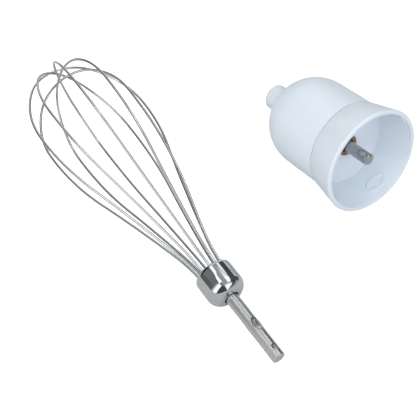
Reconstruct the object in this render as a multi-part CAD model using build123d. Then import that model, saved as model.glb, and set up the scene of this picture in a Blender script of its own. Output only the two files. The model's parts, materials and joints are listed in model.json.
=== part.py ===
"""Whisk attachment of an immersion blender: wire whisk and geared coupling, lying side by side.

Lengths are millimetres and angles degrees. The whisk is modelled along its own axis with z = 0 at the
collar's wire end and the wires above it; the coupling is modelled along its own axis with z = 0 at the
parting line and the mouth above it. Both are then laid down as they come to rest on a table.
"""
from build123d import *
import math
import os

# Whisk: wires
wire_d = 1.4                # spring-hard stainless wire
leg_ring_r = 6.2            # the ten legs stand on this radius in the core
leg_bend_r = 115.0          # long bend that fans the legs out
leg_bend_turn = 13.7        # heading at its end
leg_fan = 16.9              # widest heading, where the fan turns into the belly
belly_z = 117.3             # widest station
crown_turn = 39.0           # heading where the belly turns into the crown
crown_z = 155.7             # apex of an even loop
# One row for each loop: its azimuth, its reach past crown_z, its half width on the near and far side
# of the crown, and how far the apex leans to the first side. Hand bending leaves them uneven.
loops = (
    (-15.4, 0.4, 31.9, 30.0, 0.0),
    (15.4, -1.3, 29.9, 30.0, -1.9),
    (56.5, -3.7, 26.0, 30.6, -2.8),
    (91.5, 4.6, 32.0, 30.6, 1.4),
    (126.0, 2.2, 29.6, 30.2, 2.0),
)

# Whisk: collar, core and shaft
collar_r = 9.86
collar_length = 17.2
collar_wall = 0.9
collar_rim_round = 2.35     # rolled edge at the wires
collar_shoulder_round = 6.0
core_top = 4.0              # below the rolled edge
core_bottom = 13.6
leg_hole_clearance = 0.1
leg_seat = 12.2             # depth of the leg holes below the rolled edge
leg_bend_start = 8.4        # the legs are straight up to here
shaft_r = 3.25
shaft_stick_out = 37.8      # beyond the collar
shaft_seat = 5.6            # the shaft ends this far below the rolled edge
shaft_tip_round = 0.5
dimple_azimuth = 11.0       # from the top of the shaft, towards the coupling
drive_dimple_from_tip = 19.1
drive_dimple_length = 7.5
drive_dimple_depth = 0.7
catch_dimple_from_tip = 5.2
catch_dimple_length = 3.3
catch_dimple_depth = 0.36
drive_ear_height = 0.2      # metal squeezed out beside the drive dimples
drive_ear_width = 2.0

# Coupling: upper housing
body_r = 25.65
body_length = 27.3          # parting line to the start of the dome
housing_wall = 2.2
ring_shoulder = 0.9         # step inside the wall that the ring gear rests on
nub_r = 7.45
nub_reach = 11.25           # how far the nub stands out of the dome
nub_end_round = 1.6
nub_root_round = 1.4
gate_mark_r = 0.6
gate_mark_depth = 0.2
gate_mark_azimuth = 62.0
gate_mark_polar = 27.0

# Coupling: skirt
skirt_depth = 19.3          # parting line to the mouth
skirt_step = 0.35           # the skirt stands this much proud of the body
mouth_flare = 4.4           # the mouth is this much wider than the body
mouth_round = 1.2
mouth_wall = 2.55
mouth_inner_round = 0.5
floor_wall = 3.25           # from the body's skin to the edge of the floor
floor_depth = 0.5           # floor's face below the parting line
floor_thickness = 2.5
floor_corner_round = 1.2
spigot_wall = 1.8
snap_bead = 0.4
snap_bead_width = 1.6
snap_bead_depth = 6.5       # below the parting line
catch_azimuth = 128.0       # two catches inside the rim snap over the motor unit
catch_width = 6.0
catch_height = 2.0
catch_depth = 1.0           # below the rim
catch_reach = 1.5           # inwards from the rim's inner edge
catch_root = 1.0            # how far each catch runs into the wall behind it
pad_azimuth = -155.0
pad_height = 12.0           # station above the parting line
pad_length = 12.0
pad_width = 6.4
pad_relief = 0.45
pad_rim = 1.1
pad_root = 1.0              # how far the pad runs into the wall behind it

# Coupling: gears, with tooth heights as shares of the module
ring_wall = 1.4             # outside the ring gear's tooth spaces
sun_teeth = 12
planet_teeth = 15
planet_count = 3
pressure_angle = 20.0
addendum = 0.8
ring_addendum = 0.7
dedendum = 1.05
backlash = 0.16
gear_top = 17.2             # upper faces of sun and planets below the parting line
gear_width = 7.7
ring_top = 16.0
ring_width = 9.0
cover_thickness = 1.6
cover_hole_clearance = 0.8
carrier_gap = 0.3
carrier_thickness = 3.0
carrier_margin = 2.1        # metal outside the planet pins
planet_pin_r = 2.0

# Coupling: input side
input_tip = 17.0            # above the parting line
input_tip_round = 1.5
input_dimple_from_tip = 4.6
input_dimple_length = 5.6
input_dimple_depth = 0.6
input_dimple_azimuth = 28.8
input_journal_r = 3.0       # the pin is turned down where it runs in the bush
input_bush_r = 6.0
input_bush_proud = 0.3
input_bush_length = 10.1
input_bush_chamfer = 1.15
boss_wall = 2.2
sun_seat_r = 2.5
circlip_r = 5.4
circlip_thickness = 0.8
circlip_groove = 0.5
circlip_gap = 2.6
washer_r = 5.8
washer_thickness = 0.7
running_clearance = 0.04
end_float = 0.1

# Coupling: output side
spindle_r = 4.6
spindle_shoulder_r = 6.5
spindle_stub_r = 5.0
spindle_recess = 0.3        # the spindle ends this far inside the nub
socket_clearance = 0.05
socket_depth = 24.6
ear_slot_clearance = 0.2
output_bush_r = 5.6
output_bush_top = 43.0
output_bush_flange_r = 7.2
output_bush_flange = 1.2
output_washer_thickness = 0.5
seal_width = 1.7
nub_lip = 1.0
nub_lip_clearance = 0.3
clip_thickness = 0.8
clip_width = 0.8
clip_opening = 3.2

# How the two pieces lie
coupling_shift_x = -22.0    # parting line's centre, from the centre of the collar's rolled edge
coupling_shift_y = 103.7

# Worked out
wire_r = wire_d / 2
bore_r = body_r - housing_wall
mouth_r = body_r + mouth_flare
mouth_inner_r = mouth_r - mouth_wall
floor_inner_r = body_r - floor_wall
nub_end = body_length + body_r + nub_reach
spindle_end = nub_end - spindle_recess
ring_teeth = sun_teeth + 2 * planet_teeth
module = (bore_r - ring_wall) / (ring_teeth / 2 + dedendum)
planet_orbit_r = module * (sun_teeth + planet_teeth) / 2
shaft_tip = -(collar_length + shaft_stick_out)
socket_r = shaft_r + socket_clearance
carrier_top = gear_top + gear_width + carrier_gap
carrier_bottom = carrier_top + carrier_thickness
planet_pin_top = ring_top + end_float
ring_bottom = ring_top + ring_width
spigot_end = ring_top - cover_thickness
bush_bottom = input_bush_length - input_bush_proud
pin_shoulder = input_bush_proud - floor_depth + end_float
circlip_top = bush_bottom + washer_thickness + end_float
seal_top = nub_end - nub_lip - seal_width
slot_depth = socket_depth - drive_dimple_from_tip + drive_dimple_length / 2 + ear_slot_clearance
clip_outer_r = spindle_r - running_clearance
clip_flat = shaft_r - catch_dimple_depth + running_clearance
clip_station = socket_depth - spindle_end - catch_dimple_from_tip
skirt_slope = math.atan2(mouth_r - body_r - skirt_step, skirt_depth)


def turned(profile):
    """Solid of revolution about Z from a face in the XZ plane."""
    return revolve(profile, axis=Axis.Z, revolution_arc=360)


def outline(*points):
    """Face in the XZ plane from its corners, given as (radius, station)."""
    return make_face(Plane.XZ * Polyline(*points, close=True))


def cylinder(radius, low, high):
    return Pos(0, 0, low) * extrude(Circle(radius), high - low)


def tube(outer, inner, low, high):
    return cylinder(outer, low, high) - cylinder(inner, low, high)


def dimple(radius, length, depth, station, azimuth):
    """Scoop across a shaft: a cylinder that cuts `depth` deep over `length`."""
    scoop = (length ** 2 / 4 + depth ** 2) / (2 * depth)
    centre = radius - depth + scoop
    cutter = Pos(centre, 0, station) * Rot(90, 0, 0) * Cylinder(scoop, 4 * radius)
    return Rot(0, 0, azimuth) * cutter


def heading_point(start, heading, turn_to, radius):
    """End of an arc that turns from `heading` to `turn_to`, both from +Z, outwards positive."""
    side = 1 if turn_to > heading else -1
    first, last = math.radians(heading), math.radians(turn_to)
    return (
        start[0] + side * radius * (math.cos(first) - math.cos(last)),
        start[1] + side * radius * (math.sin(last) - math.sin(first)),
    )


def arc_pair(start, headings, end):
    """Radii of two tangent arcs with the three headings given that run from start to end."""
    span = []
    for first, last in zip(headings, headings[1:]):
        point = heading_point((0, 0), first, last, 1.0)
        span.append(point)
    (ax, az), (bx, bz) = span
    dx, dz = end[0] - start[0], end[1] - start[1]
    det = ax * bz - bx * az
    return (dx * bz - bx * dz) / det, (ax * dz - dx * az) / det


def half_loop(reach, belly, lean):
    """Arcs of half a loop as (start, heading, next heading, radius), from the bend to the apex."""
    fan_start = (leg_ring_r, -leg_bend_start)
    fan_end = heading_point(fan_start, 0, leg_bend_turn, leg_bend_r)
    fan_r, swell_r = arc_pair(fan_end, (leg_bend_turn, leg_fan, 0), (belly, belly_z))
    shoulder_r, crown_r = arc_pair((belly, belly_z), (0, -crown_turn, -90), (lean, crown_z + reach))
    arcs = []
    point = fan_start
    headings = (0, leg_bend_turn, leg_fan, 0, -crown_turn, -90)
    for first, last, radius in zip(headings, headings[1:], (leg_bend_r, fan_r, swell_r, shoulder_r, crown_r)):
        arcs.append((point, first, last, radius))
        point = heading_point(point, first, last, radius)
    return arcs


def half_edges(arcs, mirror):
    """Edges of half a loop in the XZ plane, from the leg's foot to the apex."""
    def place(point):
        return (mirror * point[0], 0, point[1])
    foot = (leg_ring_r, -leg_seat)
    edges = [Line(place(foot), place(arcs[0][0]))]
    for start, first, last, radius in arcs:
        middle = heading_point(start, first, (first + last) / 2, radius)
        end = heading_point(start, first, last, radius)
        edges.append(ThreePointArc(place(start), place(middle), place(end)))
    return edges


def wire_loop(azimuth, reach, near_belly, far_belly, lean):
    near = half_edges(half_loop(reach, near_belly, lean), 1)
    far = half_edges(half_loop(reach, far_belly, -lean), -1)
    path = Wire(near + far)
    section = Plane((leg_ring_r, 0, -leg_seat), z_dir=(0, 0, 1)) * Circle(wire_r)
    return Rot(0, 0, azimuth) * sweep(section, path=path)


def collar_profile(offset):
    """Corners and rounds of the drawn collar, `offset` inside its outer skin."""
    rim = collar_rim_round - offset
    shoulder = collar_shoulder_round - offset
    side = collar_r - offset
    rim_z = -collar_rim_round
    shoulder_z = collar_shoulder_round - collar_length
    half = math.sqrt(0.5)
    top = ThreePointArc(
        (side - rim, 0, -offset),
        (side - rim * (1 - half), 0, rim_z + rim * half),
        (side, 0, rim_z),
    )
    wall = Line((side, 0, rim_z), (side, 0, shoulder_z))
    bottom = ThreePointArc(
        (side, 0, shoulder_z),
        (side - shoulder * (1 - half), 0, shoulder_z - shoulder * half),
        (side - shoulder, 0, offset - collar_length),
    )
    return [top, wall, bottom]


def make_collar():
    outer = collar_profile(0)
    inner = collar_profile(collar_wall)
    lip = Line(outer[0] @ 0, inner[0] @ 0)
    foot = Line(outer[2] @ 1, inner[2] @ 1)
    return turned(make_face(Wire(outer + inner + [lip, foot])))


def make_core():
    """Moulded plug that fills the collar, with ten leg holes and the shaft's bore."""
    inner = collar_profile(collar_wall)
    side = collar_r - collar_wall
    shoulder = collar_shoulder_round - collar_wall
    shoulder_z = collar_shoulder_round - collar_length
    drop = -core_bottom - shoulder_z
    foot_r = side - shoulder + math.sqrt(shoulder ** 2 - drop ** 2)
    turn = math.asin(-drop / shoulder) / 2
    curve = ThreePointArc(
        (side, 0, shoulder_z),
        (side - shoulder * (1 - math.cos(turn)), 0, shoulder_z - shoulder * math.sin(turn)),
        (foot_r, 0, -core_bottom),
    )
    edges = [
        Line((0, 0, -core_top), (side, 0, -core_top)),
        Line((side, 0, -core_top), (side, 0, shoulder_z)),
        curve,
        Line((foot_r, 0, -core_bottom), (0, 0, -core_bottom)),
        Line((0, 0, -core_bottom), (0, 0, -core_top)),
    ]
    core = turned(make_face(Wire(edges)))
    core -= cylinder(shaft_r, -core_bottom, -shaft_seat)
    for azimuth, *_ in loops:
        for side_turn in (0, 180):
            hole = Pos(leg_ring_r, 0, 0) * cylinder(wire_r + leg_hole_clearance, -leg_seat, -core_top)
            core -= Rot(0, 0, azimuth + side_turn) * hole
    return core


def ear_pair(height, length, station, width):
    """Lens-shaped ears on both sides of the shaft, at right angles to the dimples."""
    rise = shaft_r + height
    bow = (length ** 2 / 4 + height ** 2) / (2 * height)
    lens = Pos(0, rise - bow, station) * Rot(0, 90, 0) * Cylinder(bow, width)
    lens &= Pos(0, rise / 2, station) * Box(width, rise, length)
    return lens + mirror(lens, about=Plane.XZ)


def make_whisk_shaft():
    shaft = cylinder(shaft_r, shaft_tip, -shaft_seat)
    shaft = fillet(shaft.edges().group_by(Axis.Z)[0], shaft_tip_round)
    drive_z = shaft_tip + drive_dimple_from_tip
    catch_z = shaft_tip + catch_dimple_from_tip
    shaft += ear_pair(drive_ear_height, drive_dimple_length, drive_z, drive_ear_width)
    for azimuth in (0, 180):
        shaft -= dimple(shaft_r, drive_dimple_length, drive_dimple_depth, drive_z, azimuth)
        shaft -= dimple(shaft_r, catch_dimple_length, catch_dimple_depth, catch_z, azimuth)
    return Rot(0, 0, dimple_azimuth) * shaft


def swept_arc(centre, radius, first, last):
    """Arc in the XZ plane between two angles from +X towards -Z."""
    points = []
    for angle in (first, (first + last) / 2, last):
        points.append((centre[0] + radius * math.cos(angle), 0, centre[1] - radius * math.sin(angle)))
    return ThreePointArc(*points)


def bell_edges(dome_z):
    """Half section of the bell: its wall, the dome, the round at the nub's root and the nub."""
    root_r = nub_r + nub_root_round
    reach = body_r + nub_root_round
    root_z = dome_z - math.sqrt(reach ** 2 - root_r ** 2)
    touch = math.acos(root_r / reach)
    dome = swept_arc((0, dome_z), body_r, 0, touch)
    root = swept_arc((root_r, root_z), nub_root_round, math.pi + touch, math.pi)
    tip = swept_arc((nub_r - nub_end_round, nub_end_round - nub_end), nub_end_round, 0, math.pi / 2)
    return [
        Line((0, 0, 0), (body_r, 0, 0)),
        Line((body_r, 0, 0), dome @ 0),
        dome,
        root,
        Line(root @ 1, tip @ 0),
        tip,
        Line(tip @ 1, (0, 0, -nub_end)),
        Line((0, 0, -nub_end), (0, 0, 0)),
    ]


def make_upper_housing():
    """Bell with its nub, the bore for the gears, the ring gear's shoulder and the output boss."""
    dome_z = -body_length
    outer = turned(make_face(Wire(bell_edges(dome_z))))
    shoulder_r = bore_r - ring_shoulder
    cavity = cylinder(bore_r, -ring_bottom, 0)
    cavity += cylinder(shoulder_r, dome_z, -ring_bottom)
    cavity += Pos(0, 0, dome_z) * Sphere(shoulder_r)
    boss_r = output_bush_r + boss_wall
    boss = cylinder(boss_r, -nub_end, -output_bush_top - output_bush_flange)
    housing = outer - (cavity - boss)
    housing -= cylinder(output_bush_r, -nub_end + nub_lip, 0)
    housing -= cylinder(spindle_r + nub_lip_clearance, -nub_end, 0)
    bead = tube(bore_r + snap_bead, bore_r, -snap_bead_depth - snap_bead_width, -snap_bead_depth)
    housing -= bead
    mark = Pos(0, 0, body_r) * Cylinder(gate_mark_r, 2 * gate_mark_depth)
    mark = Pos(0, 0, dome_z) * Rot(0, 0, gate_mark_azimuth) * Rot(0, 180 - gate_mark_polar, 0) * mark
    return housing - mark


def skirt_inner_r(station):
    rise = (mouth_inner_r - floor_inner_r) / (skirt_depth + floor_depth)
    return floor_inner_r + rise * (station + floor_depth)


def make_skirt():
    """Flared mouth with its floor, the bush's boss and the spigot that plugs into the housing."""
    shell = turned(outline(
        (0, -floor_depth - floor_thickness), (bore_r, -floor_depth - floor_thickness), (bore_r, 0),
        (body_r + skirt_step, 0), (mouth_r, skirt_depth), (0, skirt_depth)))
    outer_rim = shell.edges().group_by(Axis.Z)[-1]
    shell = fillet(outer_rim, mouth_round)
    hollow = turned(outline(
        (0, -floor_depth), (floor_inner_r, -floor_depth), (mouth_inner_r, skirt_depth), (0, skirt_depth)))
    hollow = fillet(hollow.edges().group_by(Axis.Z)[0], floor_corner_round)
    skirt = shell - hollow
    inner_rim = skirt.edges().filter_by(GeomType.CIRCLE).filter_by(
        lambda e: abs(e.radius - mouth_inner_r) < 1e-3 and e.center().Z > skirt_depth - 1e-3)
    skirt = fillet(inner_rim, mouth_inner_round)
    skirt += tube(bore_r, bore_r - spigot_wall, -spigot_end, -floor_depth - floor_thickness)
    skirt += tube(bore_r + snap_bead, bore_r, -snap_bead_depth - snap_bead_width, -snap_bead_depth)
    skirt += cylinder(input_bush_r + boss_wall, -bush_bottom, -floor_depth)
    skirt -= cylinder(input_bush_r, -bush_bottom, 0)
    for azimuth in (catch_azimuth, catch_azimuth - 180):
        skirt += Rot(0, 0, azimuth) * make_catch()
    return skirt + make_pad()


def make_catch():
    """Small block that stands in from the wall just under the rim."""
    inner = mouth_inner_r - catch_reach
    outer = mouth_inner_r + catch_root
    middle = Pos((inner + outer) / 2, 0, skirt_depth - catch_depth - catch_height / 2)
    return middle * Box(outer - inner, catch_width, catch_height)


def make_pad():
    """Bare oval medallion on the skirt's inner wall, with a raised edge."""
    def skin(relief):
        low, high = -floor_depth, skirt_depth
        return turned(outline(
            (skirt_inner_r(low) - relief, low), (skirt_inner_r(low) + pad_root, low),
            (skirt_inner_r(high) + pad_root, high), (skirt_inner_r(high) - relief, high)))
    def oval(margin):
        ellipse = Ellipse(pad_length / 2 - margin, pad_width / 2 - margin)
        column = Plane((0, 0, pad_height), x_dir=(0, 1, 0), z_dir=(1, 0, 0)) * extrude(ellipse, mouth_r)
        return Rot(0, 0, pad_azimuth) * column
    edge = skin(pad_relief) & (oval(0) - oval(pad_rim))
    field = skin(pad_relief / 2) & oval(pad_rim)
    return edge + field


def tooth_outline(teeth, tip, root, thickness_change):
    """Closed polygon of a gear with involute flanks; thickness is changed at the pitch circle."""
    pitch = module * teeth / 2
    angle = math.radians(pressure_angle)
    base = pitch * math.cos(angle)
    half = math.pi / (2 * teeth) + thickness_change / (2 * pitch) + math.tan(angle) - angle
    steps = 5
    flank = [(root, 0)]
    for step in range(steps + 1):
        r = max(root, base) + (tip - max(root, base)) * step / steps
        local = math.acos(min(1.0, base / r))
        flank.append((r, half - math.tan(local) + local))
    flank[0] = (root, flank[1][1])
    if root >= base:
        flank = flank[1:]
    points = []
    for tooth in range(teeth):
        middle = 2 * math.pi * tooth / teeth
        for r, spread in flank:
            points.append((r * math.cos(middle - spread), r * math.sin(middle - spread)))
        for r, spread in reversed(flank):
            points.append((r * math.cos(middle + spread), r * math.sin(middle + spread)))
    return make_face(Polyline(*points, close=True))


def external_gear(teeth, bore):
    pitch = module * teeth / 2
    face = tooth_outline(teeth, pitch + addendum * module, pitch - dedendum * module, -backlash)
    face -= Circle(bore)
    return Pos(0, 0, -gear_top - gear_width) * extrude(face, gear_width)


def make_ring_gear():
    pitch = module * ring_teeth / 2
    root, tip = pitch + dedendum * module, pitch - ring_addendum * module
    space = tooth_outline(ring_teeth, root, tip, backlash)
    return Pos(0, 0, -ring_bottom) * extrude(Circle(bore_r) - space, ring_width)


def make_planet(index):
    gear = Pos(planet_orbit_r, 0, 0) * external_gear(planet_teeth, planet_pin_r + running_clearance)
    return Rot(0, 0, 360 * index / planet_count) * gear


def make_planet_pin(index):
    pin = Pos(planet_orbit_r, 0, 0) * cylinder(planet_pin_r, -carrier_bottom, -planet_pin_top)
    return Rot(0, 0, 360 * index / planet_count) * pin


def make_carrier():
    outer = planet_orbit_r + planet_pin_r + carrier_margin
    plate = tube(outer, spindle_stub_r, -carrier_bottom, -carrier_top)
    for index in range(planet_count):
        hole = Pos(planet_orbit_r, 0, 0) * cylinder(planet_pin_r, -carrier_bottom, -carrier_top)
        plate -= Rot(0, 0, 360 * index / planet_count) * hole
    return plate


def make_input_shaft():
    """Pin of the coupling; the mating socket drives it by its two long dimples."""
    shaft = cylinder(shaft_r, pin_shoulder, input_tip)
    shaft = fillet(shaft.edges().group_by(Axis.Z)[-1], input_tip_round)
    shaft += cylinder(input_journal_r, -gear_top + carrier_gap, pin_shoulder)
    shaft += cylinder(sun_seat_r, -gear_top - gear_width, -gear_top + carrier_gap)
    groove_r = input_journal_r - circlip_groove
    shaft -= tube(2 * shaft_r, groove_r, -circlip_top - circlip_thickness, -circlip_top)
    for side_turn in (0, 180):
        cut_z = input_tip - input_dimple_from_tip
        azimuth = input_dimple_azimuth + side_turn
        shaft -= dimple(shaft_r, input_dimple_length, input_dimple_depth, cut_z, azimuth)
    return shaft


def make_input_bush():
    bush = cylinder(input_bush_r, -bush_bottom, input_bush_proud - floor_depth)
    bush -= cylinder(input_journal_r + running_clearance, -bush_bottom, input_bush_proud)
    mouth = bush.edges().filter_by(GeomType.CIRCLE).group_by(Axis.Z)[-1].sort_by(lambda e: e.radius)[0]
    return chamfer(mouth, input_bush_chamfer)


def make_circlip():
    groove_r = input_journal_r - circlip_groove
    clip = tube(circlip_r, groove_r, -circlip_top - circlip_thickness, -circlip_top)
    gap = Pos(circlip_r, 0, -circlip_top - circlip_thickness / 2)
    return clip - gap * Box(2 * circlip_r, circlip_gap, 2 * circlip_thickness)


def make_input_washer():
    return tube(washer_r, input_journal_r + end_float, -bush_bottom - washer_thickness, -bush_bottom)


def make_gear_cover():
    return tube(bore_r, input_journal_r + cover_hole_clearance, -ring_top, -spigot_end)


def clip_face(clearance):
    """Open snap ring with two inner flats, which drop into the catch dimples."""
    ring = Circle(clip_outer_r + clearance)
    hole = Circle(clip_outer_r - clip_width - clearance)
    hole &= Rectangle(2 * (clip_flat - clearance), 4 * spindle_r)
    opening = Pos(0, spindle_r, 0) * Rectangle(clip_opening - 2 * clearance, 2 * spindle_r)
    return ring - hole - opening


def make_retaining_ring():
    low = clip_station - clip_thickness / 2
    return Pos(0, 0, low) * extrude(clip_face(0), clip_thickness)


def make_spindle():
    """Output spindle: a blind socket for the whisk's shaft with slots for its ears."""
    shoulder_z = -output_bush_top + output_washer_thickness + end_float
    spindle = cylinder(spindle_r, -spindle_end, shoulder_z)
    spindle += cylinder(spindle_shoulder_r, shoulder_z, -carrier_bottom)
    spindle += cylinder(spindle_stub_r, -carrier_bottom, -carrier_top)
    spindle -= cylinder(socket_r, -spindle_end, -spindle_end + socket_depth)
    slot_high = 2 * (shaft_r + drive_ear_height + ear_slot_clearance)
    slot = Box(drive_ear_width + 2 * ear_slot_clearance, slot_high, slot_depth)
    spindle -= Pos(0, 0, -spindle_end + slot_depth / 2) * slot
    groove_width = clip_thickness + 2 * running_clearance
    groove = Pos(0, 0, clip_station - groove_width / 2) * extrude(clip_face(running_clearance), groove_width)
    return spindle - groove


def make_output_bush():
    flange_low = -output_bush_top - output_bush_flange
    bush = cylinder(output_bush_r, -seal_top, -output_bush_top)
    bush += cylinder(output_bush_flange_r, flange_low, -output_bush_top)
    return bush - cylinder(spindle_r + running_clearance, -seal_top, -output_bush_top)


def make_output_washer():
    top = -output_bush_top + output_washer_thickness
    return tube(spindle_shoulder_r, spindle_r + end_float, -output_bush_top, top)


def make_shaft_seal():
    return tube(output_bush_r, spindle_r + running_clearance, -nub_end + nub_lip, -seal_top)


def whisk_tilt():
    """Angle at which the whisk lies on its two lowest legs and the edge of its shaft."""
    spread = math.cos(math.radians((loops[1][0] - loops[0][0]) / 2))
    tip_z = shaft_tip + shaft_tip_round
    best = 0.0
    for start, first, last, radius in half_loop(0, loops[0][3], 0):
        for step in range(101):
            heading = first + (last - first) * step / 100
            r, z = heading_point(start, first, heading, radius) if step else start
            best = max(best, math.atan((r * spread + wire_r - shaft_r) / (z - tip_z)))
    return math.degrees(best)


def coupling_tilt():
    """Angle at which the coupling lies on its dome and the round of its mouth."""
    round_z = skirt_depth - mouth_round
    slope_r = body_r + skirt_step + math.tan(skirt_slope) * round_z
    round_r = slope_r - mouth_round / math.cos(skirt_slope)
    run = round_z + body_length
    reach = math.hypot(run, round_r)
    return math.degrees(math.atan2(round_r, run) - math.asin((body_r - mouth_round) / reach))


def whisk_place():
    """Local X up and Z towards the wires, which lie to the left along -X of the table."""
    tilt = math.radians(whisk_tilt())
    axis_up = (math.sin(tilt), 0, math.cos(tilt))
    towards_wires = (-math.cos(tilt), 0, math.sin(tilt))
    tip_height = shaft_r * math.cos(tilt)
    height = tip_height - shaft_tip * math.sin(tilt)
    return Plane((0, 0, height), x_dir=axis_up, z_dir=towards_wires).location


def coupling_place():
    """Local X up and Z out of the mouth, along +X of the table."""
    tilt = math.radians(coupling_tilt())
    axis_up = (-math.sin(tilt), 0, math.cos(tilt))
    out_of_mouth = (math.cos(tilt), 0, math.sin(tilt))
    height = body_r + body_length * math.sin(tilt)
    origin = (coupling_shift_x, coupling_shift_y, height)
    return Plane(origin, x_dir=axis_up, z_dir=out_of_mouth).location


whisk = {f"wire_loop_{number}": wire_loop(*row) for number, row in enumerate(loops, 1)}
whisk["whisk_collar"] = make_collar()
whisk["whisk_core"] = make_core()
whisk["whisk_shaft"] = make_whisk_shaft()

coupling = {
    "upper_housing": make_upper_housing(),
    "coupling_skirt": make_skirt(),
    "input_bush": make_input_bush(),
    "input_shaft": make_input_shaft(),
    "input_washer": make_input_washer(),
    "input_circlip": make_circlip(),
    "sun_pinion": external_gear(sun_teeth, sun_seat_r),
    "gear_cover": make_gear_cover(),
    "ring_gear": make_ring_gear(),
    "planet_carrier": make_carrier(),
    "output_spindle": make_spindle(),
    "output_washer": make_output_washer(),
    "output_bush": make_output_bush(),
    "retaining_ring": make_retaining_ring(),
    "shaft_seal": make_shaft_seal(),
}
for index in range(planet_count):
    coupling[f"planet_gear_{index + 1}"] = make_planet(index)
    coupling[f"planet_pin_{index + 1}"] = make_planet_pin(index)

lying = {name: whisk_place() * solid for name, solid in whisk.items()}
lying.update({name: coupling_place() * solid for name, solid in coupling.items()})
extent = Compound(children=[Compound(solid.solids()) for solid in lying.values()]).bounding_box()
centred = Pos(-extent.center().X, -extent.center().Y, -extent.min.Z)

os.makedirs("parts", exist_ok=True)
for name, solid in lying.items():
    export_step(centred * solid, f"parts/{name}.step")

print("whisk tilt", round(whisk_tilt(), 3), "coupling tilt", round(coupling_tilt(), 3))
print("shift", [round(value, 4) for value in (extent.center().X, extent.center().Y, extent.min.Z)])
print("size", [round(value, 2) for value in extent.size])
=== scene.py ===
"""Wire whisk and geared coupling of an immersion blender, finished for the studio.

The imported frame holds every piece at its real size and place. This add-on models the pieces whose
surface is looked at closely, gives every piece its material and sets up the stage.
"""
import json
import math
from collections import namedtuple

import bmesh
import bpy
from mathutils import Matrix, Vector


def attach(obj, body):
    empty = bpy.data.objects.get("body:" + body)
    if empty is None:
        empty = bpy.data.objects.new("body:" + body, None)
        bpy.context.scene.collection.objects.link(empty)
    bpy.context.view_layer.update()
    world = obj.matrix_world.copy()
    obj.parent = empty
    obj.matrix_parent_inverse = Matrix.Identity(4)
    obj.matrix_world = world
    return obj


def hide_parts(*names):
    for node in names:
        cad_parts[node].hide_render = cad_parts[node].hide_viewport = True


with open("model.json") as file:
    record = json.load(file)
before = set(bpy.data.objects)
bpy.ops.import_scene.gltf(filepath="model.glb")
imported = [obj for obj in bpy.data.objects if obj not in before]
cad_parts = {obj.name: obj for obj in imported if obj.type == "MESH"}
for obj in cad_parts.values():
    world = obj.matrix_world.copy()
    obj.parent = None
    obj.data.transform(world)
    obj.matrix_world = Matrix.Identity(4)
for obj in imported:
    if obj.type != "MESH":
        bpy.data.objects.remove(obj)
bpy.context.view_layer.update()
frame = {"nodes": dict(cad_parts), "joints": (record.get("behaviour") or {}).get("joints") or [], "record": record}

bl_info = {
    "name": "Whisk Attachment",
    "version": (1, 0, 0),
    "blender": (4, 5, 0),
    "location": "View3D > Sidebar > Whisk",
    "description": "Models and finishes a wire whisk and its geared coupling",
    "category": "Object",
}

MM = 0.001
ARC_STEP = 4.0          # degrees between points on a turned profile's rounds
TURN_SEGMENTS = 160     # faces round a turned piece
WIRE_SEGMENTS = 20      # faces round a wire
WIRE_STEP = 1.5 * MM    # length of a wire's faces
PAD_SEGMENTS = 96       # faces round the oval pad
BEVEL_SEGMENTS = 3      # faces across a rounded edge
SHARP_ANGLE = math.radians(32)
EDGE_MARGIN = 0.1 * MM  # slack where edges are picked by their radius
CUT_TOLERANCE = 1e-7    # metres between a cut and a vertex that counts as on it
SECTION = "section"     # where a point of a wire lies on the wire's round section

GATE_MARK_REACH = 3.0   # faces are cut finer within this many of the gate mark's radii
GATE_MARK_CUTS = 5
GATE_MARK_POWER = 4     # a higher power gives the mark a flatter floor

METAL = {"Metallic": 1.0}
NOISE = {"Scale": 1.0, "Roughness": 0.55}   # a cell's size comes with the vector
NOISE_DETAIL = 2.0
NOISE_SPAN = (0.2, 0.8)         # a noise stays between these nearly everywhere
MIX_A, MIX_B, MIXED = 6, 7, 2   # colour sockets of a Mix node

# Dimples coined into the two ground bars, in millimetres along the bar and below its wall. Their edges get painted
# shade, and their floors a painted tint: a painted highlight on the pin, painted shade on the stub.
STUB_DIMPLES = (-53, -30)       # stations from the collar's rolled edge
PIN_DIMPLES = (3, 15)           # stations from the parting line
DIMPLE_END = 0.2                # soft ends of those stretches
PAINTED_EDGE_SHADE_DEPTHS = (0.04, 0.07)      # where the painted shade along a dimple's sheared edge sets in
PAINTED_FLOOR_TINT_DEPTHS = (0.15, 0.23)     # where the painted tint of a dimple's floor sets in
PAINTED_EDGE_SHADE = 0.22               # the painted shade of that edge, as a share of the steel's own colour

# One row for each wire loop: azimuth, reach past the even crown, half width on the near and the far
# side, and lean of the apex. Hand bending leaves them uneven. Degrees and millimetres.
Loop = namedtuple("Loop", "azimuth reach near far lean")
LOOPS = (
    Loop(-15.4, 0.4, 31.9, 30.0, 0.0),
    Loop(15.4, -1.3, 29.9, 30.0, -1.9),
    Loop(56.5, -3.7, 26.0, 30.6, -2.8),
    Loop(91.5, 4.6, 32.0, 30.6, 1.4),
    Loop(126.0, 2.2, 29.6, 30.2, 2.0),
)

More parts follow.
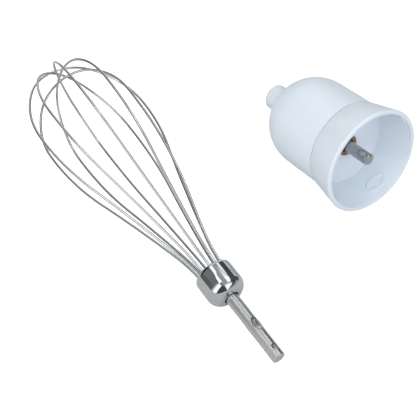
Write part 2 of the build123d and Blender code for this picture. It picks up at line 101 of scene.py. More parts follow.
# Softboxes and walls of the tent that polished metal mirrors: roll about the whisk's axis from
# straight up towards the coupling, slant towards the stub, how far the slant leans for each degree
# of roll, how far the roll sways towards the balloon, soft edge, all in degrees, and strength. A
# later panel lies over the earlier ones.
Panel = namedtuple("Panel", "name roll_from roll_to slant_from slant_to lean sway edge strength")
PANELS = (
    Panel("ceiling", -22, 14, -80, 40, 0, 0, 4, 0.46),
    Panel("far wall", 70, 200, -90, 90, 0, 0, 5, 0.44),
    Panel("far gap", 36, 100, -8.9, 30, -0.165, 0, 1.2, 0.10),
    Panel("near sill", -200, -93, -90, 90, 0, 0, 5, 0.43),
    Panel("near gap", -95, -26, -34, -8.6, 0.15, 0, 1.0, 0.15),
    Panel("near glow", -62, -26, -34, -8.6, 0.15, 0, 8, 0.26),
    Panel("near wall", -95, -26, -8.6, 5, 0.15, 0, 0.8, 0.68),
    Panel("balloon glow", -12, 120, -62, -27, 0, 0, 5, 0.75),
    Panel("balloon gap", -128, -14, -90, -30, 0, 0, 4, 0.01),
    Panel("near strip", -26, -13, -26, -6, 0, 10, 2, 1.9),
    Panel("far strip", 20, 34, -26, -16, 0, 4, 2, 1.2),
    Panel("far strip lamp", 12, 33, -16, 31, 0, 0, 4, 1.55),
    Panel("near stub strip", -27, -14, -13.2, -6, 0, 0, 1, 3.8),
    Panel("far stub strip", 14, 32, -13.2, -6, 0, 0, 1, 2.6),
    Panel("balloon end", -8, 40, -90, -34, 0, 0, 5, 0.95),
    Panel("near window", -88, -30, -6, 27, 0, 0, 3, 1.6),
    Panel("end window", -14, 46, 40, 90, 0, 0, 8, 1.6),
)
SWAY_SLANTS = (-15.0, -16.3)    # the sway takes place between these slants
TENT_GAP = 0.08                 # strength that metal mirrors where no panel stands
OPEN_SIDE = (0.76, -0.64, 0.1)  # the tent is brightest here on matt surfaces
OPEN_SPAN = (-0.3, 0.95)        # cosines from that side between which the light rises
TABLE_GLOW = (("Is Camera Ray", 0.8), ("Is Glossy Ray", 0.08))  # white to the eye, pale to metal
SENSOR_WIDTH = 36.0             # millimetres
CLIP_START = 10 * MM


def srgb(code):
    """Linear colour from a hex code such as #AABBCC."""
    values = []
    for start in (1, 3, 5):
        level = int(code[start:start + 2], 16) / 255
        values.append(level / 12.92 if level <= 0.04045 else ((level + 0.055) / 1.055) ** 2.4)
    return (*values, 1.0)


def axis_frame(origin, axis):
    """Place of a turned piece: Z along its axis, X as near to straight up as it can be."""
    along = Vector(axis).normalized()
    up = (Vector((0, 0, 1)) - along * along.z).normalized()
    side = along.cross(up)
    place = Matrix((up, side, along)).transposed().to_4x4()
    place.translation = Vector(origin)
    return place


def mount(name):
    for row in frame["record"]["mounts"]:
        if row["name"] == name:
            return row
    raise ValueError(f"the record has no mount named {name}")


def joint(name):
    for row in frame["joints"]:
        if row["name"] == name:
            return row
    raise ValueError(f"the record has no joint named {name}")


def length(name, description, millimetres):
    return bpy.props.FloatProperty(
        name=name, description=description, default=millimetres * MM, min=0.0,
        subtype="DISTANCE", unit="LENGTH")


def angle(name, description, degrees):
    return bpy.props.FloatProperty(
        name=name, description=description, default=math.radians(degrees), subtype="ANGLE", unit="ROTATION")


def colour(name, description, code):
    return bpy.props.FloatVectorProperty(
        name=name, description=description, default=srgb(code), size=4, min=0.0, max=1.0, subtype="COLOR")


def spot(name, description, x, y, z):
    return bpy.props.FloatVectorProperty(
        name=name, description=description, default=(x * MM, y * MM, z * MM), size=3,
        subtype="TRANSLATION", unit="LENGTH")


class WhiskSizes(bpy.types.PropertyGroup):
    wire_diameter: length("Wire diameter", "Thickness of the spring wire", 1.4)
    leg_ring_radius: length("Leg ring", "Radius on which the ten legs stand", 6.2)
    leg_seat: length("Leg seat", "Depth of the legs' feet below the rolled edge", 12.2)
    leg_bend_start: length("Bend start", "Depth at which the legs begin to fan out", 8.4)
    leg_bend_radius: length("Leg bend", "Radius of the long bend of each leg", 115.0)
    leg_bend_turn: angle("Leg bend turn", "Heading at the end of the long bend", 13.7)
    leg_fan: angle("Leg fan", "Widest heading of a leg", 16.9)
    belly_station: length("Belly station", "Distance of the widest place from the rolled edge", 117.3)
    crown_turn: angle("Crown turn", "Heading where the belly turns into the crown", 39.0)
    crown_station: length("Crown station", "Distance of an even loop's apex from the rolled edge", 155.7)
    collar_radius: length("Collar radius", "Outer radius of the polished collar", 9.86)
    collar_length: length("Collar length", "Length of the polished collar", 17.2)
    collar_wall: length("Collar wall", "Thickness of the drawn sheet", 0.9)
    rim_round: length("Rim round", "Radius of the rolled edge at the wires", 2.35)
    shoulder_round: length("Shoulder round", "Radius of the shoulder at the stub", 6.0)
    lip_round: length("Lip round", "Rounding of the sheet's cut edges", 0.22)


class CouplingSizes(bpy.types.PropertyGroup):
    body_radius: length("Body radius", "Outer radius of the bell", 25.65)
    body_length: length("Body length", "Parting line to the start of the dome", 27.3)
    wall: length("Wall", "Thickness of the bell", 2.2)
    ring_shoulder: length("Ring shoulder", "Step that the ring gear rests on", 0.9)
    ring_seat: length("Ring seat", "Depth of that step below the parting line", 25.0)
    nub_radius: length("Nub radius", "Outer radius of the nub", 7.45)
    nub_end: length("Nub end", "Parting line to the end of the nub", 64.2)
    nub_end_round: length("Nub end round", "Rounding of the nub's end", 1.6)
    nub_root_round: length("Nub root round", "Hollow round where the nub leaves the dome", 1.4)
    nub_hole: length("Nub hole", "Radius of the hole in the nub's end", 4.9)
    nub_lip: length("Nub lip", "Thickness of the lip round that hole", 1.0)
    bush_seat: length("Bush seat", "Radius of the output bush's seat", 5.6)
    boss_radius: length("Boss radius", "Outer radius of the boss inside the dome", 7.8)
    boss_top: length("Boss top", "Depth of the boss below the parting line", 44.2)
    edge_round: length("Edge round", "Small rounding of moulded edges", 0.12)
    parting_width: length("Parting width", "Width of the shadow line where bell and skirt meet", 0.65)
    parting_depth: length("Parting depth", "Depth of that line", 0.9)
    gate_mark_radius: length("Gate mark radius", "Radius of the moulding's gate mark", 0.6)
    gate_mark_depth: length("Gate mark depth", "Depth of the moulding's gate mark", 0.2)
    gate_mark_azimuth: angle("Gate mark azimuth", "Place of the gate mark round the dome", 62.0)
    gate_mark_polar: angle("Gate mark polar", "Place of the gate mark down from the nub", 27.0)
    skirt_depth: length("Skirt depth", "Parting line to the mouth", 19.3)
    skirt_step: length("Skirt step", "How far the skirt stands proud of the bell", 0.35)
    mouth_radius: length("Mouth radius", "Outer radius of the mouth", 30.05)
    mouth_round: length("Mouth round", "Outer rounding of the rim", 1.2)
    mouth_inner_radius: length("Mouth inner radius", "Inner radius of the mouth", 27.5)
    mouth_inner_round: length("Mouth inner round", "Inner rounding of the rim", 0.5)
    floor_radius: length("Floor radius", "Radius of the floor inside the skirt", 22.4)
    floor_depth: length("Floor depth", "Depth of the floor's face below the parting line", 0.5)
    floor_thickness: length("Floor thickness", "Thickness of the floor", 2.5)
    floor_corner: length("Floor corner", "Hollow round between floor and wall", 1.2)
    floor_hole: length("Floor hole", "Radius of the hole for the input bush", 6.0)
    boss_wall: length("Input boss wall", "Wall of the boss round the input bush", 2.2)
    input_boss: length("Input boss", "Depth of that boss below the parting line", 9.8)
    spigot_wall: length("Spigot wall", "Wall of the spigot inside the bell", 1.8)
    spigot_end: length("Spigot end", "Depth of the spigot below the parting line", 14.4)
    catch_azimuth: angle("Catch azimuth", "Place of the first snap catch round the mouth", 128.0)
    catch_width: length("Catch width", "Width of each catch", 6.0)
    catch_height: length("Catch height", "Height of each catch", 2.0)
    catch_depth: length("Catch depth", "Depth of each catch below the rim", 1.0)
    catch_reach: length("Catch reach", "Reach of each catch inwards from the rim's inner edge", 1.5)
    catch_root: length("Catch root", "How far each catch runs into the wall", 1.0)
    catch_lead: length("Catch lead", "Slope that lets the motor unit push past each catch", 0.7)
    pad_azimuth: angle("Pad azimuth", "Place of the oval pad round the mouth", -155.0)
    pad_station: length("Pad station", "Height of the pad above the parting line", 12.0)
    pad_length: length("Pad length", "Length of the oval pad round the wall", 12.0)
    pad_width: length("Pad width", "Width of the oval pad", 6.4)
    pad_relief: length("Pad relief", "How far the pad stands off the wall", 0.75)
    pad_rim: length("Pad rim", "Width of the pad's raised edge", 1.1)


class WhiskFinishes(bpy.types.PropertyGroup):
    bright_steel: colour("Bright steel", "Polished and drawn stainless steel", "#D0D3D5")
    ground_steel: colour("Ground steel", "Centreless-ground stainless steel of the stub", "#DADBDC")
    pin_steel: colour("Pin steel", "Hardened and ground steel of the input pin", "#BFBFBF")
    dull_steel: colour("Dull steel", "Hobbed and hardened gear steel", "#A3A4A8")
    blued_steel: colour("Blued steel", "Tempered spring steel", "#4A4C55")
    shell_white: colour("Shell white", "Cool white of the moulded shells", "#DAE4EE")
    acetal: colour("Acetal", "Natural white of the moulded gears", "#E6E4DB")
    bronze: colour("Bronze", "Oil-soaked sintered bronze", "#967F63")
    plug_grey: colour("Plug grey", "Moulded plug that holds the wires", "#5C5F63")
    nitrile: colour("Nitrile", "Black rubber of the shaft seal", "#1E1E20")


class StudioSettings(bpy.types.PropertyGroup):
    camera_place: spot("Camera", "Where the camera stands", 288.66, -214.40, 325.31)
    camera_target: spot("Target", "What the camera looks at", 22.45, -31.64, 20.0)
    lens: bpy.props.FloatProperty(
        name="Lens", description="Focal length on a 36 mm sensor", default=75.28, min=1.0, unit="CAMERA")
    floor_size: length("Floor size", "Half width of the floor", 4000.0)
    table_white: colour("Table white", "Matt white of the table top", "#C8C8C8")
    dome_strength: bpy.props.FloatProperty(
        name="Dome", description="Even light of the tent on matt surfaces", default=0.54, min=0.0)
    end_strength: bpy.props.FloatProperty(
        name="Open end", description="Light of the tent's open end, which shines into the mouth",
        default=1.62, min=0.0)
    key_power: bpy.props.FloatProperty(
        name="Key", description="Power of the soft key lamp", default=2.2, min=0.0, unit="POWER")
    key_width: length("Key width", "Width of the soft key lamp", 900.0)
    key_place: spot("Key place", "Where the soft key lamp hangs", -350.0, -750.0, 1100.0)


# Small tools

def add_node(tree, kind, inputs=None, **settings):
    """Adds a node, sets its properties, and sets or links its inputs."""
    node = tree.nodes.new(kind)
    for name, value in settings.items():
        setattr(node, name, value)
    for name, value in (inputs or {}).items():
        if isinstance(value, bpy.types.NodeSocket):
            tree.links.new(value, node.inputs[name])
        else:
            node.inputs[name].default_value = value
    return node


def new_material(name):
    """A material with an empty node tree, and that tree."""
    material = bpy.data.materials.new(name)
    material.use_nodes = True
    material.node_tree.nodes.clear()
    return material, material.node_tree


def local_vector(tree, place, cell):
    """Place on the piece along its own axes, in cells of the given millimetres."""
    source = add_node(tree, "ShaderNodeTexCoord")
    mapping = add_node(
        tree, "ShaderNodeMapping", vector_type="TEXTURE",
        inputs={
            "Vector": source.outputs["Object"],
            "Location": place.translation,
            "Rotation": place.to_euler(),
            "Scale": Vector(cell) * MM,
        })
    return mapping.outputs["Vector"]


def local_pattern(tree, place, cell, detail=NOISE_DETAIL):
    """Noise whose cells measure `cell` millimetres along the piece's own axes."""
    vector = local_vector(tree, place, cell)
    return add_node(tree, "ShaderNodeTexNoise", inputs={"Vector": vector, "Detail": detail, **NOISE})


def lengthwise_pattern(tree, across, along):
    """Noise that follows a bent wire: fine round its section, slow along its length, in millimetres."""
    section = add_node(tree, "ShaderNodeAttribute", attribute_name=SECTION)
    source = add_node(tree, "ShaderNodeTexCoord")
    cells = []
    for vector, cell in ((section.outputs["Vector"], across), (source.outputs["Object"], along)):
        scaled = add_node(
            tree, "ShaderNodeVectorMath", operation="SCALE", inputs={0: vector, "Scale": 1 / (cell * MM)})
        cells.append(scaled.outputs["Vector"])
    place = add_node(tree, "ShaderNodeVectorMath", operation="ADD", inputs={0: cells[0], 1: cells[1]})
    return add_node(
        tree, "ShaderNodeTexNoise",
        inputs={"Vector": place.outputs["Vector"], "Detail": NOISE_DETAIL, **NOISE})


def smooth_step(tree, value, start, end, low=0.0, high=1.0):
    """Goes smoothly from low to high while the value goes from start to end."""
    step = add_node(
        tree, "ShaderNodeMapRange", interpolation_type="SMOOTHSTEP",
        inputs={"Value": value, "From Min": start, "From Max": end, "To Min": low, "To Max": high})
    return step.outputs["Result"]


def soft_band(tree, value, start, end, edge):
    """1 from start to end, with a soft edge on both sides."""
    rise = smooth_step(tree, value, start - edge, start + edge)
    fall = smooth_step(tree, value, end + edge, end - edge)
    return add_node(tree, "ShaderNodeMath", operation="MULTIPLY", inputs={0: rise, 1: fall}).outputs[0]


def tint(base, share):
    """The same colour, lighter or darker by a share."""
    return tuple(min(1.0, level * share) for level in base[:3]) + (1.0,)


def shaded(tree, pattern, finish, low, high, start=0.3, end=0.7):
    """Colour of a finish, from its low to its high share over the middle of a pattern."""
    ramp = add_node(tree, "ShaderNodeValToRGB", inputs={"Fac": pattern.outputs["Fac"]})
    for element, position, share in zip(ramp.color_ramp.elements, (start, end), (low, high)):
        element.position = position
        element.color = tint(finish, share)
    return ramp.outputs["Color"]


def finish_surface(material, base, pattern, roughness, depth, even, relief=None):
    """Connects the surface shader: the pattern spreads its roughness and raises its bump.

    The bump's depth is in millimetres, `even` holds the inputs that are the same all over, and
    `relief` is a pattern for the bump alone.
    """
    tree = material.node_tree
    spread = smooth_step(tree, pattern.outputs["Fac"], *NOISE_SPAN, *roughness)
    height = (relief or pattern).outputs["Fac"]
    bump = add_node(
        tree, "ShaderNodeBump", inputs={"Height": height, "Strength": 1.0, "Distance": depth * MM})
    surface = add_node(
        tree, "ShaderNodeBsdfPrincipled",
        inputs={"Base Color": base, "Roughness": spread, "Normal": bump.outputs["Normal"], **even})
    add_node(tree, "ShaderNodeOutputMaterial", inputs={"Surface": surface.outputs["BSDF"]})
    return material


class Profile:
    """Half section drawn in the XZ plane with extrude and spin, then turned about Z."""

    def __init__(self, radius, station):
        self.mesh = bmesh.new()
        self.first = self.mesh.verts.new((radius, 0, station))
        self.tip = self.first

    def line(self, radius, station):
        grown = bmesh.ops.extrude_vert_indiv(self.mesh, verts=[self.tip])
        self.tip = grown["verts"][0]
        self.tip.co = (radius, 0, station)

    def arc(self, radius, station, degrees):
        """Swings the tip about a centre; a positive turn goes from +X towards -Z."""
        swept = bmesh.ops.spin(
            self.mesh, geom=[self.tip], cent=(radius, 0, station), axis=(0, 1, 0),
            angle=math.radians(degrees), steps=max(3, math.ceil(abs(degrees) / ARC_STEP)))
        self.tip = swept["geom_last"][0]

    def turn(self):
        """Closes the section and turns it into a solid's skin."""
        self.mesh.edges.new((self.tip, self.first))
        bmesh.ops.spin(
            self.mesh, geom=self.mesh.verts[:] + self.mesh.edges[:], cent=(0, 0, 0), axis=(0, 0, 1),
            angle=math.tau, steps=TURN_SEGMENTS, use_merge=True)
        bmesh.ops.recalc_face_normals(self.mesh, faces=self.mesh.faces)
        return self.mesh


def sharp_edges(mesh):
    found = []
    for edge in mesh.edges:
        if len(edge.link_faces) == 2 and edge.calc_face_angle() > SHARP_ANGLE:
            found.append(edge)
    return found


def soften(mesh, width, beyond=-1.0):
    """Rounds the sharp edges that lie wholly beyond a radius about the Z axis, or all of them."""
    edges = [edge for edge in sharp_edges(mesh) if all(vert.co.xy.length > beyond for vert in edge.verts)]
    bmesh.ops.bevel(
        mesh, geom=edges, offset=width, offset_type="OFFSET", segments=BEVEL_SEGMENTS, profile=0.5,
        affect="EDGES", material=-1, clamp_overlap=True)


def only(kind, items):
    """The vertices, edges or faces among what an operator returned."""
    return [item for item in items if isinstance(item, kind)]


def place_piece(name, mesh, place, material, slot, *nodes):
    """Makes the mesh a finished piece at its place, riding on the fixed body for its CAD nodes."""
    for face in mesh.faces:
        face.smooth = True
    for edge in sharp_edges(mesh):
        edge.smooth = False
    bmesh.ops.transform(mesh, matrix=place, verts=mesh.verts)
    data = bpy.data.meshes.new(name)
    mesh.to_mesh(data)
    mesh.free()
    data.materials.append(material)
    piece = bpy.data.objects.new(name, data)
    bpy.context.scene.collection.objects.link(piece)
    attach(piece, "root")
    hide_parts(*nodes)
    return piece


def dress(material, *nodes):
    """Gives CAD nodes their finish."""
    for name in nodes:
        data = frame["nodes"][name].data
        data.materials.clear()
        data.materials.append(material)


# Places of the two pieces, from the record

def whisk_place():
    """Centre of the collar's rolled edge, Z towards the wires."""
    stub = mount("whisk_stub")
    outwards = Vector(stub["axis"]).normalized()
    sizes = bpy.context.scene.whisk_sizes
    back = sizes.collar_length + stub["dims"]["length_mm"] * MM / 2
    return axis_frame(Vector(stub["pos_m"]) - outwards * back, -outwards)


def coupling_place():
    """Centre of the parting line, Z out of the mouth."""
    spin = joint("input_spin")
    return axis_frame(spin["pos_m"], spin["axis"])


# Materials

def drawn_wire():
    """Bright-drawn stainless spring wire: near-mirror, with faint lines left by the die.

    The lines are drawn as coarse as they need to show.
    """
    steel = bpy.context.scene.whisk_finishes.bright_steel
    material, tree = new_material("bright_drawn_stainless_wire")
    lines = lengthwise_pattern(tree, across=0.35, along=60.0)
    base = shaded(tree, lines, steel, low=0.88, high=1.0)
    return finish_surface(material, base, lines, roughness=(0.08, 0.14), depth=0.001, even=METAL)


def polished_steel():
    """Mirror-polished stainless sheet: buffed, with a trace of wheel haze."""
    steel = bpy.context.scene.whisk_finishes.bright_steel
    material, tree = new_material("mirror_polished_stainless")
    haze = local_pattern(tree, whisk_place(), cell=(3.0, 3.0, 3.0))
    buffing = local_pattern(tree, whisk_place(), cell=(0.15, 0.15, 2.0))
    base = shaded(tree, haze, steel, low=0.93, high=1.0)
    return finish_surface(
        material, base, haze, roughness=(0.03, 0.07), depth=0.0004, even=METAL, relief=buffing)


def ground_steel(name, bar, place, steel, dimples, painted_floor_tint):
    """Ground steel bar of a mount: satin, with faint lengthwise lines as coarse as they need to show.

    Its dimples are coined; each gets painted shade along its sheared edge, and a painted tint on its floor by the
    given share, which is a painted highlight above 1 and painted shade below it.
    """
    material, tree = new_material(name)
    lines = local_pattern(tree, place, cell=(0.4, 0.4, 200.0), detail=1.0)
    local = local_vector(tree, place, (1, 1, 1))
    flat = add_node(tree, "ShaderNodeVectorMath", operation="MULTIPLY", inputs={0: local, 1: (1, 1, 0)})
    distance = add_node(
        tree, "ShaderNodeVectorMath", operation="LENGTH", inputs={0: flat.outputs["Vector"]})
    station = add_node(tree, "ShaderNodeSeparateXYZ", inputs={"Vector": local}).outputs["Z"]
    coined = soft_band(tree, station, *dimples, DIMPLE_END)
    radius = mount(bar)["dims"]["r_mm"]
    base = shaded(tree, lines, steel, low=0.76, high=1.0)
    # Paints shade along each dimple's sheared edge, then a painted highlight or painted shade on its floor, as the
    # share says.
    for (start, end), share in ((PAINTED_EDGE_SHADE_DEPTHS, PAINTED_EDGE_SHADE), (PAINTED_FLOOR_TINT_DEPTHS, painted_floor_tint)):
        sunk = smooth_step(tree, distance.outputs["Value"], radius - start, radius - end)
        painted_light_mask = add_node(tree, "ShaderNodeMath", operation="MULTIPLY", inputs={0: coined, 1: sunk})
        mixed = add_node(
            tree, "ShaderNodeMix", data_type="RGBA",
            inputs={"Factor": painted_light_mask.outputs[0], MIX_A: base, MIX_B: tint(steel, share)})
        base = mixed.outputs[MIXED]
    return finish_surface(material, base, lines, roughness=(0.04, 0.6), depth=0.0008, even=METAL)


def shell_plastic():
    """Injection-moulded ABS shell: cool white and satin, with the faint grain of an eroded mould.

    The grain is drawn coarser than the real one, so that it shows.
    """
    white = bpy.context.scene.whisk_finishes.shell_white
    material, tree = new_material("moulded_white_abs")
    flow = local_pattern(tree, coupling_place(), cell=(14.0, 14.0, 22.0))
    grain = local_pattern(tree, coupling_place(), cell=(0.35, 0.35, 0.35))
    base = shaded(tree, flow, white, low=0.97, high=1.01)
    return finish_surface(
        material, base, flow, roughness=(0.30, 0.38), depth=0.003, even={"IOR": 1.53}, relief=grain)


def sintered_bronze():
    """Oil-soaked sintered bronze: matt metal with open pores between its grains."""
    bronze = bpy.context.scene.whisk_finishes.bronze
    material, tree = new_material("sintered_bronze")
    pores = local_pattern(tree, coupling_place(), cell=(0.25, 0.25, 0.25), detail=4.0)
    base = shaded(tree, pores, bronze, low=0.6, high=1.1, start=0.35, end=0.55)
    return finish_surface(material, base, pores, roughness=(0.36, 0.55), depth=0.02, even=METAL)


def plug_nylon():
    """Glass-filled nylon plug: moulded and matt, with a fine speckle of glass."""
    grey = bpy.context.scene.whisk_finishes.plug_grey
    material, tree = new_material("moulded_grey_nylon")
    grain = local_pattern(tree, whisk_place(), cell=(0.3, 0.3, 0.3), detail=3.0)
    base = shaded(tree, grain, grey, low=0.85, high=1.1)
    return finish_surface(material, base, grain, roughness=(0.5, 0.65), depth=0.01, even={"IOR": 1.53})


def gear_acetal():
    """Natural acetal gears: waxy off-white with faint flow marks."""
    white = bpy.context.scene.whisk_finishes.acetal
    material, tree = new_material("moulded_acetal")
    flow = local_pattern(tree, coupling_place(), cell=(4.0, 4.0, 4.0))
    base = shaded(tree, flow, white, low=0.95, high=1.0)
    return finish_surface(material, base, flow, roughness=(0.3, 0.4), depth=0.003, even={"IOR": 1.48})


def gear_steel():
    """Hobbed and hardened steel: grey, with tool marks across the teeth."""
    steel = bpy.context.scene.whisk_finishes.dull_steel
    material, tree = new_material("hobbed_gear_steel")
    marks = local_pattern(tree, coupling_place(), cell=(0.6, 0.6, 0.12), detail=3.0)
    base = shaded(tree, marks, steel, low=0.8, high=1.05)
    return finish_surface(material, base, marks, roughness=(0.3, 0.45), depth=0.006, even=METAL)


def spring_steel():
    """Tempered spring steel with its dark blue scale."""
    steel = bpy.context.scene.whisk_finishes.blued_steel
    material, tree = new_material("blued_spring_steel")
    scale = local_pattern(tree, coupling_place(), cell=(0.8, 0.8, 0.8), detail=3.0)
    base = shaded(tree, scale, steel, low=0.8, high=1.2)
    return finish_surface(material, base, scale, roughness=(0.25, 0.4), depth=0.004, even=METAL)


def seal_rubber():
    """Moulded nitrile rubber: black and matt, with a little bloom."""
    black = bpy.context.scene.whisk_finishes.nitrile
    material, tree = new_material("moulded_nitrile")
    bloom = local_pattern(tree, coupling_place(), cell=(1.2, 1.2, 1.2), detail=3.0)
    base = shaded(tree, bloom, black, low=0.8, high=1.6)
    return finish_surface(material, base, bloom, roughness=(0.6, 0.8), depth=0.01, even={"IOR": 1.52})


# Wires

def heading_move(heading, turn, radius):
    """Sideways and forward travel of an arc; headings are radians from the axis, outwards positive."""
    side = math.copysign(1.0, turn)
    return Vector((
        side * radius * (math.cos(heading) - math.cos(heading + turn)), 0,
        side * radius * (math.sin(heading + turn) - math.sin(heading))))


def arc_radii(start, headings, end):
    """Radii of the two tangent arcs that join two points through three headings."""
    first = heading_move(headings[0], headings[1] - headings[0], 1.0)
    second = heading_move(headings[1], headings[2] - headings[1], 1.0)
    across, along = end.x - start.x, end.z - start.z
    spread = first.x * second.z - second.x * first.z
    return (across * second.z - second.x * along) / spread, (first.x * along - across * first.z) / spread


def half_turns(sizes, reach, belly, lean):
    """(turn, radius) of each arc of half a loop, from the leg's bend to the apex."""
    start = Vector((sizes.leg_ring_radius, 0, -sizes.leg_bend_start))
    start += heading_move(0.0, sizes.leg_bend_turn, sizes.leg_bend_radius)
    widest = Vector((belly, 0, sizes.belly_station))
    apex = Vector((lean, 0, sizes.crown_station + reach))
    fan, swell = arc_radii(start, (sizes.leg_bend_turn, sizes.leg_fan, 0.0), widest)
    shoulder, crown = arc_radii(widest, (0.0, -sizes.crown_turn, -math.pi / 2), apex)
    return [
        (sizes.leg_bend_turn, sizes.leg_bend_radius),
        (sizes.leg_fan - sizes.leg_bend_turn, fan),
        (-sizes.leg_fan, swell),
        (-sizes.crown_turn, shoulder),
        (sizes.crown_turn - math.pi / 2, crown),
    ]


def extend(mesh, ring, move):
    """Runs the open end of a wire straight on."""
    grown = bmesh.ops.extrude_edge_only(mesh, edges=ring)["geom"]
    bmesh.ops.translate(mesh, verts=only(bmesh.types.BMVert, grown), vec=move)
    return [edge for edge in only(bmesh.types.BMEdge, grown) if edge.is_boundary]


def swing(mesh, ring, centre, turn, steps):
    """Bends the open end of a wire round a centre."""
    swept = bmesh.ops.spin(mesh, geom=ring, cent=centre, axis=(0, 1, 0), angle=turn, steps=steps)
    return only(bmesh.types.BMEdge, swept["geom_last"])


def bend_loop(sizes, loop):
    """One loop of wire in the XZ plane, from foot to foot, turned to its azimuth."""
    near = half_turns(sizes, loop.reach * MM, loop.near * MM, loop.lean * MM)
    far = half_turns(sizes, loop.reach * MM, loop.far * MM, -loop.lean * MM)
    straight = sizes.leg_seat - sizes.leg_bend_start
    mesh = bmesh.new()
    section = mesh.verts.layers.float_vector.new(SECTION)
    bmesh.ops.create_circle(mesh, cap_ends=True, segments=WIRE_SEGMENTS, radius=sizes.wire_diameter / 2)
    for vert in mesh.verts:
        vert[section] = vert.co
    tip = Vector((sizes.leg_ring_radius, 0, -sizes.leg_seat))
    bmesh.ops.translate(mesh, verts=mesh.verts, vec=tip)
    ring = extend(mesh, mesh.edges[:], (0, 0, straight))
    tip.z += straight
    heading = 0.0
    for turn, radius in near + far[::-1]:
        side = math.copysign(1.0, turn)
        centre = tip + side * radius * Vector((math.cos(heading), 0, -math.sin(heading)))
        steps = math.ceil(max(abs(turn) * radius / WIRE_STEP, math.degrees(abs(turn)) / ARC_STEP))
        ring = swing(mesh, ring, centre, turn, steps)
        tip += heading_move(heading, turn, radius)
        heading += turn
    ring = extend(mesh, ring, (0, 0, -straight))
    bmesh.ops.holes_fill(mesh, edges=ring)
    bmesh.ops.recalc_face_normals(mesh, faces=mesh.faces)
    turned = Matrix.Rotation(math.radians(loop.azimuth), 3, "Z")
    bmesh.ops.rotate(mesh, verts=mesh.verts, cent=(0, 0, 0), matrix=turned)
    return mesh


class WHISK_OT_bend_wires(bpy.types.Operator):
    """Bends the five wire loops of the balloon."""
    bl_idname = "whisk.bend_wires"
    bl_label = "Bend the Wires"

    def execute(self, context):
        material = drawn_wire()
        for number, loop in enumerate(LOOPS, 1):
            mesh = bend_loop(context.scene.whisk_sizes, loop)
            name, node = f"spring_wire_{number}", f"wire_loop_{number}"
            place_piece(name, mesh, whisk_place(), material, "spring_wire", node)
        return {"FINISHED"}


# Collar and stub

def turn_collar(sizes):
    """Drawn cap with its rolled edge at the wires and a round shoulder at the stub."""
    radius, wall = sizes.collar_radius, sizes.collar_wall
    rim, shoulder = sizes.rim_round, sizes.shoulder_round
    shoulder_z = shoulder - sizes.collar_length
    section = Profile(radius - rim, 0)
    section.arc(radius - rim, -rim, 90)
    section.line(radius, shoulder_z)
    section.arc(radius - shoulder, shoulder_z, 90)
    section.line(radius - shoulder, wall - sizes.collar_length)
    section.arc(radius - shoulder, shoulder_z, -90)
    section.line(radius - wall, -rim)
    section.arc(radius - rim, -rim, -90)
    mesh = section.turn()
    soften(mesh, sizes.lip_round)
    return mesh


class WHISK_OT_press_collar(bpy.types.Operator):
    """Presses and polishes the collar, and finishes the plug that it holds."""
    bl_idname = "whisk.press_collar"
    bl_label = "Press the Collar"

    def execute(self, context):
        mesh = turn_collar(context.scene.whisk_sizes)
        place_piece(
            "polished_collar", mesh, whisk_place(), polished_steel(), "polished_steel", "whisk_collar")
        dress(plug_nylon(), "whisk_core")
        return {"FINISHED"}


class WHISK_OT_grind_stubs(bpy.types.Operator):
    """Grinds the whisk's stub and the coupling's input pin."""
    bl_idname = "whisk.grind_stubs"
    bl_label = "Grind the Stub and Pin"

    def execute(self, context):
        finishes = context.scene.whisk_finishes
        # The stub's dimple floors get painted shade (0.95), the pin's a painted highlight (1.15).
        stub = ground_steel(
            "ground_stainless_stub", "whisk_stub", whisk_place(), finishes.ground_steel,
            STUB_DIMPLES, painted_floor_tint=0.95)
        pin = ground_steel(
            "hardened_ground_pin", "input_pin", coupling_place(), finishes.pin_steel,
            PIN_DIMPLES, painted_floor_tint=1.15)
        dress(stub, "whisk_shaft")
        dress(pin, "input_shaft")
        return {"FINISHED"}


# Coupling

def turn_bell(sizes):
    """Bell with its dome, the hollow round at the nub's root, the nub and the seats inside."""
    radius, dome_z = sizes.body_radius, -sizes.body_length
    root, tip = sizes.nub_root_round, sizes.nub_end_round
    reach = radius + root
    root_r = sizes.nub_radius + root
    root_z = dome_z - math.sqrt(reach ** 2 - root_r ** 2)
    touch = math.degrees(math.acos(root_r / reach))
    inner_r = radius - sizes.wall
    seat_r = inner_r - sizes.ring_shoulder
    boss = math.degrees(math.acos(sizes.boss_radius / seat_r))
    section = Profile(radius - sizes.parting_depth, 0)
    section.line(radius - sizes.parting_depth, -sizes.parting_width)
    section.line(radius, -sizes.parting_width)
    section.line(radius, dome_z)
    section.arc(0, dome_z, touch)
    section.arc(root_r, root_z, -touch)
    section.line(sizes.nub_radius, tip - sizes.nub_end)
    section.arc(sizes.nub_radius - tip, tip - sizes.nub_end, 90)
    section.line(sizes.nub_hole, -sizes.nub_end)
    section.line(sizes.nub_hole, sizes.nub_lip - sizes.nub_end)
    section.line(sizes.bush_seat, sizes.nub_lip - sizes.nub_end)
    section.line(sizes.bush_seat, -sizes.boss_top)
    section.line(sizes.boss_radius, -sizes.boss_top)
    section.line(sizes.boss_radius, dome_z - math.sqrt(seat_r ** 2 - sizes.boss_radius ** 2))
    section.arc(0, dome_z, -boss)
    section.line(seat_r, -sizes.ring_seat)
    section.line(inner_r, -sizes.ring_seat)
    section.line(inner_r, 0)
    mesh = section.turn()
    soften(mesh, sizes.edge_round, inner_r - EDGE_MARGIN)
    return mesh


